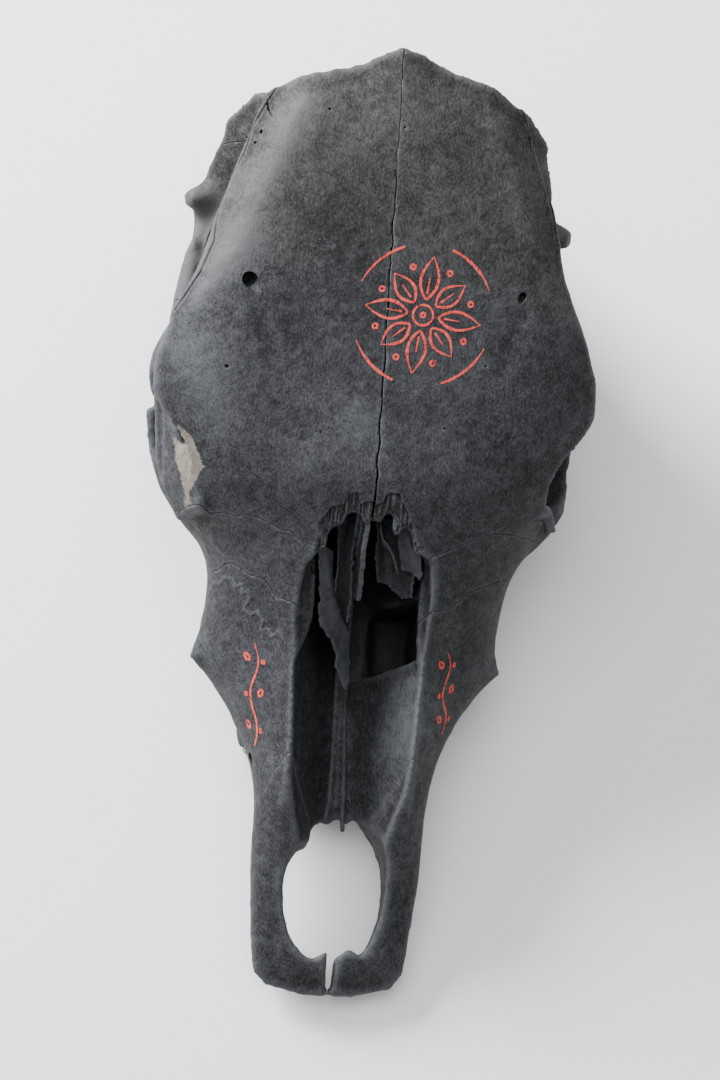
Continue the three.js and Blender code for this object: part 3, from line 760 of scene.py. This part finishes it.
class Shade:
    """One socket of a material's nodes, for sums in plain Python."""

    def __init__(self, tree, socket):
        self.tree = tree
        self.socket = socket

    def node(self, kind, settings=None, inputs=None):
        """One node, from its type, its settings and the value or link of each socket."""
        made = self.tree.nodes.new(kind)
        for name, value in (settings or {}).items():
            setattr(made, name, value)
        for name, value in (inputs or {}).items():
            self.join(made.inputs[name], value)
        return made

    def join(self, socket, value):
        if isinstance(value, Shade):
            self.tree.links.new(value.socket, socket)
        else:
            socket.default_value = value

    def out(self, kind, settings=None, inputs=None, output=0):
        return Shade(self.tree, self.node(kind, settings, inputs).outputs[output])

    def sum(self, operation, first, second):
        return self.out("ShaderNodeMath", {"operation": operation}, {0: first, 1: second})

    def __add__(self, other):
        return self.sum("ADD", self, other)

    def __radd__(self, other):
        return self.sum("ADD", other, self)

    def __sub__(self, other):
        return self.sum("SUBTRACT", self, other)

    def __rsub__(self, other):
        return self.sum("SUBTRACT", other, self)

    def __mul__(self, other):
        return self.sum("MULTIPLY", self, other)

    def __rmul__(self, other):
        return self.sum("MULTIPLY", other, self)

    def between(self, low, high):
        """0 up to low, 1 from high on, smooth between."""
        inputs = {"Value": self, "From Min": low, "From Max": high}
        return self.out("ShaderNodeMapRange", {"interpolation_type": "SMOOTHSTEP"}, inputs)

    def blend(self, first, second, kind="MIX"):
        """A colour between two, by this value."""
        settings = {"data_type": "RGBA", "clamp_factor": True, "blend_type": kind}
        return self.out("ShaderNodeMix", settings, {0: self, 6: first, 7: second}, 2)

    def noise(self, scale, detail=3.0, rough=0.6, output=0):
        inputs = {"Vector": self, "Scale": scale, "Detail": detail, "Roughness": rough}
        return self.out("ShaderNodeTexNoise", None, inputs, output)

    def kept(self, name):
        settings = {"attribute_type": "GEOMETRY", "attribute_name": name}
        return self.out("ShaderNodeAttribute", settings, None, 2)


def new_material(name):
    material = bpy.data.materials.new(name)
    material.use_nodes = True
    tree = material.node_tree
    tree.nodes.clear()
    shader = tree.nodes.new("ShaderNodeBsdfPrincipled")
    output = tree.nodes.new("ShaderNodeOutputMaterial")
    tree.links.new(shader.outputs[0], output.inputs[0])
    return material, shader, Shade(tree, None)


def place_of(paint):
    return paint.out("ShaderNodeTexCoord", None, None, 3)


def brushed(paint, spot):
    """Short strokes some 1 mm wide, that swirl over the bone."""
    swirl = spot.noise(42.0, 2.0, 0.5, 1)
    push = paint.out("ShaderNodeVectorMath", {"operation": "MULTIPLY_ADD"}, {
        0: swirl, 1: (0.016, 0.016, 0.016), 2: spot,
    })
    drawn = paint.out("ShaderNodeMapping", None, {"Vector": push, "Scale": (1.0, 0.42, 0.8)})
    return drawn.noise(980.0, 2.0, 0.6)


painted, shader, paint = new_material("painted_bone")
spot = place_of(paint)
strokes = brushed(paint, spot)
specks = spot.noise(1500.0, 1.0, 0.5)
blots = spot.noise(170.0, 4.0, 0.65)
clouds = spot.noise(24.0, 3.0, 0.55)
grain = strokes * 0.85 + specks * 0.55 + blots * 0.5 + clouds * 0.55
# Black goes to grey with the worn value: rubbed paint on crests, and painted highlights in the zones
# on the left.
tone = (grain + paint.kept("worn") * 0.9 - 1.22).between(-0.32, 0.62)
colour = tone.blend(BLACK, GREY)
towards_back = paint.out("ShaderNodeSeparateXYZ", None, {0: spot}, 1)
warm = (towards_back + clouds * 0.1).between(0.13, 0.23)
colour = warm.blend(colour, WARM, "MULTIPLY")
bare = paint.kept("bare") + blots * 3.2 + specks * 1.6 - 2.4
bone_colour = (strokes * 0.6 + blots * 0.7).between(0.35, 0.95).blend(BARE_DARK, BARE_PALE)
colour = bare.between(-0.15, 0.25).blend(colour, bone_colour)
# Painted shade: the colour goes near black inside the nose, by the kept deep value.
colour = paint.kept("deep").blend(colour, SHADE_BLACK)
paint.join(shader.inputs["Base Color"], colour)
paint.join(shader.inputs["Roughness"], 0.74 - tone * 0.14)
shader.inputs["Specular IOR Level"].default_value = 0.22
relief = strokes * 0.55 + specks * 0.3 + blots * 0.9
bumpy = paint.out("ShaderNodeBump", None, {"Height": relief, "Distance": 0.0005, "Strength": 0.75})
paint.join(shader.inputs["Normal"], bumpy)

for piece in bones.values():
    piece.data.materials.clear()
    piece.data.materials.append(painted)

# The thin bones left in the nose, which take the place of their plain packed ones: the blade of the
# wall between its halves, the scrolls at its back, torn off short, and the trough the wall stands in.
WALL = [
    [(-1.5, 262, 134), (-1.2, 244, 133), (-1.5, 222.6, 126.5), (-2.2, 214, 122), (-1.9, 205.5, 115),
     (-1.1, 198, 106), (-0.7, 188.5, 96.5)],
    [(-1.5, 262, 110), (-1, 244, 108), (-1.4, 222, 104), (-1.9, 214, 101), (-1.7, 206, 97),
     (-1.2, 199, 92), (-1, 192, 88)],
]
WALL_SLIPS = [
    [[(-4.2, 232, 126), (-4.2, 223, 121), (-4.1, 217, 114), (-3.7, 211, 105)],
     [(-4, 232, 110), (-4, 223, 106), (-3.9, 217, 101), (-3.5, 212, 97)]],
    [[(-6.4, 233, 124), (-6.2, 226, 120), (-6.1, 222.5, 115), (-5.9, 218.5, 110)],
     [(-6, 233, 110), (-6, 226, 108), (-5.9, 223, 104), (-5.7, 219.5, 101)]],
]
RIGHT_SCROLL = [
    [[(-5.3, 232, 112), (-5.3, 223.7, 108), (-5, 212.5, 99), (-3.9, 204, 91), (-3, 192, 82),
      (-3.1, 182, 73)],
     [(-8, 232, 100), (-8.5, 224, 94), (-8.6, 213, 86), (-8.2, 203, 79), (-7.2, 192, 70),
      (-6.2, 184, 66)],
     [(-13, 232, 102), (-12.5, 224, 96), (-11.5, 213, 89), (-11.4, 203.5, 86), (-12, 193, 83),
      (-8.4, 183, 75)]],
    [[(-24, 214, 107), (-22.5, 203, 99), (-20.8, 193, 92), (-20.8, 183, 89), (-19, 177, 87),
      (-13, 172, 80), (-9.2, 166, 73), (-7.3, 159, 68), (-2.8, 150.5, 60)],
     [(-20, 214, 105), (-17.5, 203, 98), (-14.5, 194, 90), (-10.5, 186, 83), (-8, 178, 77),
      (-6, 171, 71), (-4.4, 165, 68), (-3.6, 159, 65), (-1.2, 150, 59)],
     [(-16, 214, 99), (-14.2, 203, 92), (-12.2, 194.5, 84), (-6.5, 184.5, 74), (-2.6, 179, 71),
      (-1.4, 172, 67), (-0.6, 166, 64), (0, 159, 61), (0.6, 151.5, 58)]],
]
LEFT_SCROLL = [
    [[(7, 236, 98), (8.4, 222, 91), (9.6, 212, 83), (11.2, 204.5, 78)],
     [(13, 236, 88), (14, 222, 82), (15, 212, 77), (17, 202.5, 75)],
     [(20, 236, 92), (20.6, 222, 86), (21.2, 209, 80), (23.6, 196.5, 78)],
     [(25, 236, 112), (26.5, 222, 104), (28, 208, 97), (28.4, 193.5, 88)]],
    [[(6.5, 226, 114), (8.3, 219, 112), (12.9, 214.8, 108), (16.3, 209.1, 104), (18.8, 204, 99)],
     [(8, 225, 108), (9.3, 218, 106), (13.9, 213.8, 102), (17.3, 208.1, 99), (19.4, 203.4, 96)]],
    [[(16, 231, 114), (17.2, 221, 109), (19, 213, 103), (21, 206, 98)],
     [(20.5, 231, 121), (21.5, 221, 116), (23.3, 212, 110), (25, 204, 101)],
     [(24, 231, 124), (25.5, 220, 119), (28.3, 210, 112), (30.6, 200, 103)]],
]


def smooth_net(net, wide, long):
    """A net of places made finer both ways on smooth curves through them."""

    def refine(rows, count):
        rows = np.array(rows, float)
        padded = np.concatenate([[2 * rows[0] - rows[1]], rows, [2 * rows[-1] - rows[-2]]])
        made = []
        for share in np.linspace(0, len(rows) - 1, count):
            index = min(int(share), len(rows) - 2)
            t = share - index
            a, b, c, d = padded[index : index + 4]
            bend = (2 * a - 5 * b + 4 * c - d) * t**2 + (3 * b - 3 * c + d - a) * t**3
            made.append(0.5 * (2 * b + (c - a) * t + bend))
        return np.array(made)

    return refine(refine(net, wide).swapaxes(0, 1), long)


def leaf(form, net, thick, wide, long, frayed=1.4):
    """Adds a thin curled leaf of bone over a net, with torn rims."""
    rows = smooth_net(net, wide, long)
    plate = bmesh.new()
    corners = []
    for v, row in enumerate(rows):
        made = []
        for u, (x, station, z) in enumerate(row):
            spot = Vector((x, station, z))
            rim = max(abs(2 * u / (wide - 1) - 1), 2 * v / (long - 1) - 1) ** 6
            torn = noise.noise_vector(spot / 2.2) * frayed * rim
            curled = noise.noise_vector(spot / 5.0) * 0.5
            made.append(plate.verts.new(at(*(spot + (torn + curled)))))
        corners.append(made)
    for first, second in zip(corners, corners[1:]):
        for u in range(wide - 1):
            plate.faces.new([first[u], first[u + 1], second[u + 1], second[u]])
    flat_leaf = meshed(plate, "leaf")
    form.from_mesh(worked(flat_leaf, "SOLIDIFY", thickness=thick * MM, offset=0, use_rim=True))


def fuse(form, name, lift, voxel=0.55, rounds=3):
    """One piece from parts that overlap, its edges worn round."""
    skin = Skin(cast(meshed(form, name), voxel))
    skin.relax(rounds)
    piece = placed(name + "_bone", skin.settle(), painted)
    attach(piece, "root")
    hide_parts(name)
    weather(piece, lift, 0.15)


wall = bmesh.new()
leaf(wall, WALL, 2.7, 12, 60, 0.9)
for slip in WALL_SLIPS:
    leaf(wall, slip, 1.1, 10, 30, 0.7)
box(wall, (-6.5, 230, 104), (0, 245, 114))
fuse(wall, "nasal_septum", 0.3)
scroll = bmesh.new()
for net in RIGHT_SCROLL:
    leaf(scroll, net, 1.3, 24, 60)
fuse(scroll, "concha_right", 0.3)
scroll = bmesh.new()
leaf(scroll, LEFT_SCROLL[0], 1.4, 34, 50)
leaf(scroll, LEFT_SCROLL[1], 1.1, 8, 30, 0.5)
leaf(scroll, LEFT_SCROLL[2], 1.3, 20, 40)
fuse(scroll, "concha_left", 0.42)
VOMER = [
    (95, 3.6, 5.0), (105, 3.3, 5.4), (114, 2.9, 4.6), (125, 2.6, 4.2), (140, 2.2, 3.4),
    (152, 2.4, 4.4), (165, 2.0, 6), (178, 2.2, 11), (190, 2.2, 18), (226, 2.2, 26),
]
FLOOR = [(10, 8), (70, 22), (92, 31), (120, 35), (200, 42), (262, 56), (292, 80)]
trough = bmesh.new()
for side in (-1, 1):
    limb(trough, [(side * half - 1, s, along(FLOOR, s) + tall * 0.6, 1.6) for s, half, tall in VOMER])
    limb(trough, [(side * 3.4 - 1, 96, 34, 1.6), (side * 4.6 - 1.2, 84 - 3 * side, 30, 1.3)])
    limb(trough, [(side * 8.4 - 1, 96, 33, 1.5), (side * 9.0 - 1.2, 86 + 2 * side, 29, 1.2)])
limb(trough, [(-1, s, along(FLOOR, s) + 1.0, 2.2 + half * 0.4) for s, half, tall in VOMER])
limb(trough, [(-9.4, 97, 33, 1.6), (0, 97, 32, 2.4), (7.6, 97, 33, 1.6)])
fuse(trough, "vomer", 0.0, 0.7, 5)

# The cheek teeth: six a side, worn flat by grazing, each with hard ribbed enamel round softer
# dentine and deep crescent pits. They are sunk in the gum line of the jaw and left unpainted.
TOOTH_TOP = 17.5
AROUND = 56
RINGS = 13
OVER_TABLE = 0.06
DENTINE = (0.2, 0.15, 0.09, 1)
ENAMEL = (0.5, 0.44, 0.33, 1)
GUM_STAIN = (0.05, 0.045, 0.04, 1)


def tooth(form, side, index):
    """Adds a crown as rings of corners: outwards over its chewing face, then up its sides."""
    front, end = tooth_start(index), tooth_start(index + 1)
    long = (end - front) / 2 * 0.985
    wide = 6.2 + 4.3 * math.sqrt(index / (TEETH - 1))
    out = 38.6 + 15.4 * math.sqrt((index + 0.5) / TEETH)
    lobes = (0.0,) if index < PREMOLARS else (-0.46, 0.46)
    reach = 0.72 if index < PREMOLARS else 0.4

    def rim(turn):
        """The outline of the crown: lobes towards the tongue, upright ribs towards the cheek."""
        a, b = math.cos(turn), math.sin(turn)
        across = math.copysign(abs(a) ** 0.55, a)
        forward = math.copysign(abs(b) ** 0.6, b)
        waist = sum(math.exp(-(((forward - lobe) / (reach * 0.95)) ** 2)) for lobe in lobes)
        ribs = sum(math.exp(-(((forward - place) / 0.12) ** 2)) for place in (-0.86, 0, 0.86))
        across *= 0.78 + 0.2 * min(waist, 1.05) if across < 0 else 0.84 + 0.13 * ribs + 0.04 * waist
        return across, forward

    def worn(across, forward):
        """Height of the chewing face over its lowest point."""
        size = 0.0
        for lobe in lobes:
            away = math.hypot((across + 0.12) / 0.42, (forward - lobe) / reach)
            open_side = smooth_step(across, 0.28, 0.4)
            size += 2.4 * math.exp(-(((away - 0.55) / 0.16) ** 2)) * (1 - 0.5 * open_side)
            size -= 0.8 * math.exp(-(((away - 0.88) / 0.13) ** 2))
        return 1.3 + size + 0.5 * noise.noise(Vector((across * 2 + index, forward * 2, side)))

    rows = []
    for ring in range(RINGS + 5):
        row = []
        for step in range(AROUND):
            across, forward = rim(2 * math.pi * step / AROUND)
            if ring < RINGS:
                share = (ring + 0.6) / RINGS
                height = worn(across * share, forward * share) * (1 - share**9) + 0.25
            else:
                share = 1 + 0.04 * math.sin((ring - RINGS) * 1.4) + 0.015 * (ring - RINGS)
                height = 1.1 + (TOOTH_TOP - 1.1) * ((ring - RINGS + 0.4) / 4.4)
            x = side * (out + across * share * wide)
            station = (front + end) / 2 + forward * share * long
            row.append(form.verts.new(at(x, station, max(height, OVER_TABLE))))
        rows.append(row)
    loft(form, rows)


enamel, shader, paint = new_material("tooth")
spot = place_of(paint)
stain = spot.noise(120.0, 4.0, 0.6)
lines = paint.out("ShaderNodeMapping", None, {"Vector": spot, "Scale": (1, 1, 0.15)}).noise(900.0, 2.0)
height = paint.out("ShaderNodeSeparateXYZ", None, {0: spot}, 2)
clean = (height * 60.0 + stain * 0.9 + lines * 0.3 - 0.6).between(0.0, 1.0)
near_gum = (height * 60.0 + stain - 0.95).between(0.0, 0.35)
paint.join(shader.inputs["Base Color"], near_gum.blend(clean.blend(DENTINE, ENAMEL), GUM_STAIN))
shader.inputs["Roughness"].default_value = 0.38
for side, name in ((-1, "right"), (1, "left")):
    crown = bmesh.new()
    for index in range(TEETH):
        single = bmesh.new()
        tooth(single, side, index)
        crown.from_mesh(meshed(single, "tooth"))
    piece = placed("teeth_" + name, meshed(crown, "teeth_" + name), enamel)
    for face in piece.data.polygons:
        face.use_smooth = True
    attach(piece, "root")
    "maxilla_" + name

# Painted ornament in red: a flower of eight petals on the forehead and a waving stem on each cheek,
# drawn with a dry brush, as thin ribbons of paint that follow the bone.
FLOWER = ((18, 321, 170), (1, 0, 0), (0.03, 0.966, 0.259))
STEMS = (
    ((-50.4, 141.6, 71.3), (-4.4, 47.8, 22.2), (-0.72, -0.33, 0.62)),
    ((48.6, 147, 76), (-2.7, 37.0, 19.0), (0.68, -0.33, 0.65)),
)
BRUSH = 1.5
PAINT_OVER = 0.13
PAINT_UNDER = 0.5
PETALS = 8
DEEP_RED = (0.3, 0.022, 0.018, 1)
LIGHT_RED = (0.62, 0.075, 0.06, 1)


def petal(turn, near, far, wide):
    """The two sides of one petal, as lines from its foot to its tip."""
    lines = []
    for side in (-1, 1):
        line = []
        for step in range(19):
            share = step / 18
            reach = near + (far - near) * share
            aside = side * wide * math.sin(math.pi * share**0.85)
            line.append((
                reach * math.sin(turn) + aside * math.cos(turn),
                reach * math.cos(turn) - aside * math.sin(turn),
            ))
        lines.append(line)
    return lines


def arc(centre, radius, start, end, count=25):
    a, b = centre
    turns = np.linspace(start, end, count)
    return [(a + radius * math.cos(turn), b + radius * math.sin(turn)) for turn in turns]


def flower_lines():
    lines = [arc((0, 0), 5.2, 0, 2 * math.pi), arc((0, 0), 1.2, 0, 2 * math.pi, 9)]
    for index in range(PETALS):
        turn = 2 * math.pi / PETALS * index + 0.1
        lines += petal(turn, 8.0, 26.0 if index % 2 else 30.0, 4.6)
        lines.append([(reach * math.sin(turn), reach * math.cos(turn)) for reach in (11, 19)])
        between = turn + math.pi / PETALS
        knot = (25 * math.sin(between), 25 * math.cos(between))
        lines.append(arc(knot, 1.3, 0, 2 * math.pi, 9))
    for side in (-1, 1):
        for middle_turn in (math.pi / 2, -math.pi / 2):
            lines.append(arc((0, 0), 36, side * 0.35 + middle_turn, side * 1.15 + middle_turn))
    return lines


def stem_lines(long):
    shares = np.linspace(0, 1, 61)
    lines = [[(2.6 * math.sin(share * 3 * math.pi), long * (share - 0.5)) for share in shares]]
    for index in range(3):
        along_stem = long * ((index + 0.5) / 3 - 0.5)
        side = -1 if index % 2 else 1
        for line in petal(-side * 0.7, 0, 9, 2.4):
            lines.append([(a * 0.55 - side * 3.2, b * 0.55 + along_stem) for a, b in line])
        lines.append(arc((side * 5.6, along_stem), 0.9, 0, 2 * math.pi, 9))
    return lines


def stroke(form, line, place, tree):
    """Adds one ribbon of paint along a line, laid on the bone, or nothing where it runs off it."""
    origin, right, top, normal = place
    closed = math.dist(line[0], line[-1]) < 0.01
    rows = []
    for index, (a, b) in enumerate(line):
        before, after = line[max(index - 1, 0)], line[min(index + 1, len(line) - 1)]
        run = Vector((after[0] - before[0], after[1] - before[1])).normalized()
        share = index / (len(line) - 1)
        press = 0.8 if closed else 0.35 + 0.65 * math.sin(math.pi * min(share + 0.12, 1)) ** 0.5
        wobble = noise.noise(Vector((a / 4, b / 4, 3)))
        half = BRUSH / 2 * press * (1 + 0.35 * wobble)
        row = []
        for side in (-1, 1):
            aim = origin + right * (a - side * run.y * half) + top * (b + side * run.x * half)
            found = tree.ray_cast((aim + normal * 25) * MM, -normal)[0]
            if found is None:
                return
            row += [found + normal * PAINT_OVER * MM, found - normal * PAINT_UNDER * MM]
        rows.append([form.verts.new(spot) for spot in (row[0], row[2], row[3], row[1])])
    loft(form, rows)


red, shader, paint = new_material("red_brush_paint")
spot = place_of(paint)
dry = brushed(paint, spot) * 0.9 + spot.noise(1500.0, 1.0) * 0.5
thin = spot.noise(160.0, 3.0)
tint = dry.between(0.45, 0.95).blend(DEEP_RED, LIGHT_RED)
paint.join(shader.inputs["Base Color"], tint)
paint.join(shader.inputs["Alpha"], (dry * 0.7 + thin * 0.9).between(0.62, 0.86))
shader.inputs["Roughness"].default_value = 0.6
shader.inputs["Specular IOR Level"].default_value = 0.3


def stem_place(origin, top, off_the_bone):
    """The middle of a stem, and the ways right and up over the bone."""
    return origin, Vector(top).normalized().cross(Vector(off_the_bone)), top


ornaments = [
    ("flower", FLOWER, flower_lines()),
    ("stem_right", stem_place(*STEMS[0]), stem_lines(54)),
    ("stem_left", stem_place(*STEMS[1]), stem_lines(44)),
]
for name, (origin, right, top), lines in ornaments:
    origin = Vector(origin) - Vector((0, MIDDLE, 0))
    right = Vector(right).normalized()
    top = Vector(top).normalized()
    normal = right.cross(top).normalized()
    drawing = bmesh.new()
    for line in lines:
        single = bmesh.new()
        stroke(single, line, (origin, right, top, normal), skin_tree)
        drawing.from_mesh(meshed(single, "stroke"))
    piece = placed("paint_" + name, meshed(drawing, "paint_" + name), red)
    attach(piece, "root")

# The floor and the backdrop, with soft studio light from the upper left, as in the photograph.
FLOOR_REACH = 6
DAYLIGHT = 0.6
square_floor = bmesh.new()
bmesh.ops.create_grid(square_floor, x_segments=1, y_segments=1, size=FLOOR_REACH)
white, shader, _ = new_material("white_floor")
shader.inputs["Base Color"].default_value = (0.9, 0.9, 0.9, 1)
shader.inputs["Roughness"].default_value = 0.9
placed("floor", meshed(square_floor, "floor"), white)

world = bpy.data.worlds.new("room")
world.use_nodes = True
backdrop = world.node_tree.nodes["Background"]
backdrop.inputs["Color"].default_value = (1, 1, 1, 1)
backdrop.inputs["Strength"].default_value = DAYLIGHT
bpy.context.scene.world = world


def lamp(name, place, aim, size, power):
    light = bpy.data.lights.new(name, "AREA")
    light.size = size
    light.energy = power
    holder = placed(name, light)
    holder.location = place
    holder.rotation_euler = (Vector(aim) - Vector(place)).to_track_quat("-Z", "Y").to_euler()


lamp("window", (-1.25, 1.15, 0.95), (-0.03, 0.08, 0.1), 0.8, 135)
lamp("overhead", (-0.5, 0.4, 2.4), (0, 0, 0.1), 1.8, 44)

# The camera: it looks down on the forehead, square to its slope, a little from the left of the
# picture, and is as far off and as high as in the photograph. SIGHT pairs a pixel with a place.
PITCH = math.radians(15)
TURN = math.radians(8)
ROLL = math.radians(3.7)
DISTANCE = 1700.0
SCALE = 0.505
SIGHT = ((377, 480), (0, 240.5, 143))
PHOTO = (720, 1080)
slope = np.array([0, math.cos(PITCH), math.sin(PITCH)])
square = np.array([0, -math.sin(PITCH), math.cos(PITCH)])
aside = np.array([1.0, 0, 0])
back = square * math.cos(TURN) - aside * math.sin(TURN)
side_on = aside * math.cos(TURN) + square * math.sin(TURN)
up = slope * math.cos(ROLL) - side_on * math.sin(ROLL)
right = side_on * math.cos(ROLL) + slope * math.sin(ROLL)
across = (SIGHT[0][0] - PHOTO[0] / 2) * SCALE
down = (SIGHT[0][1] - PHOTO[1] / 2) * SCALE
stand = np.array(SIGHT[1]) - [0, MIDDLE, 0] + back * DISTANCE - right * across + up * down
lens = bpy.data.cameras.new("camera")
lens.sensor_width = 36
lens.lens = 36 * DISTANCE / SCALE / PHOTO[1]
lens.clip_start = 0.05
lens.clip_end = 20
camera = placed("camera", lens)
turn = Matrix((right, up, back)).transposed()
camera.matrix_world = Matrix.Translation(stand * MM) @ turn.to_4x4()
bpy.context.scene.camera = camera
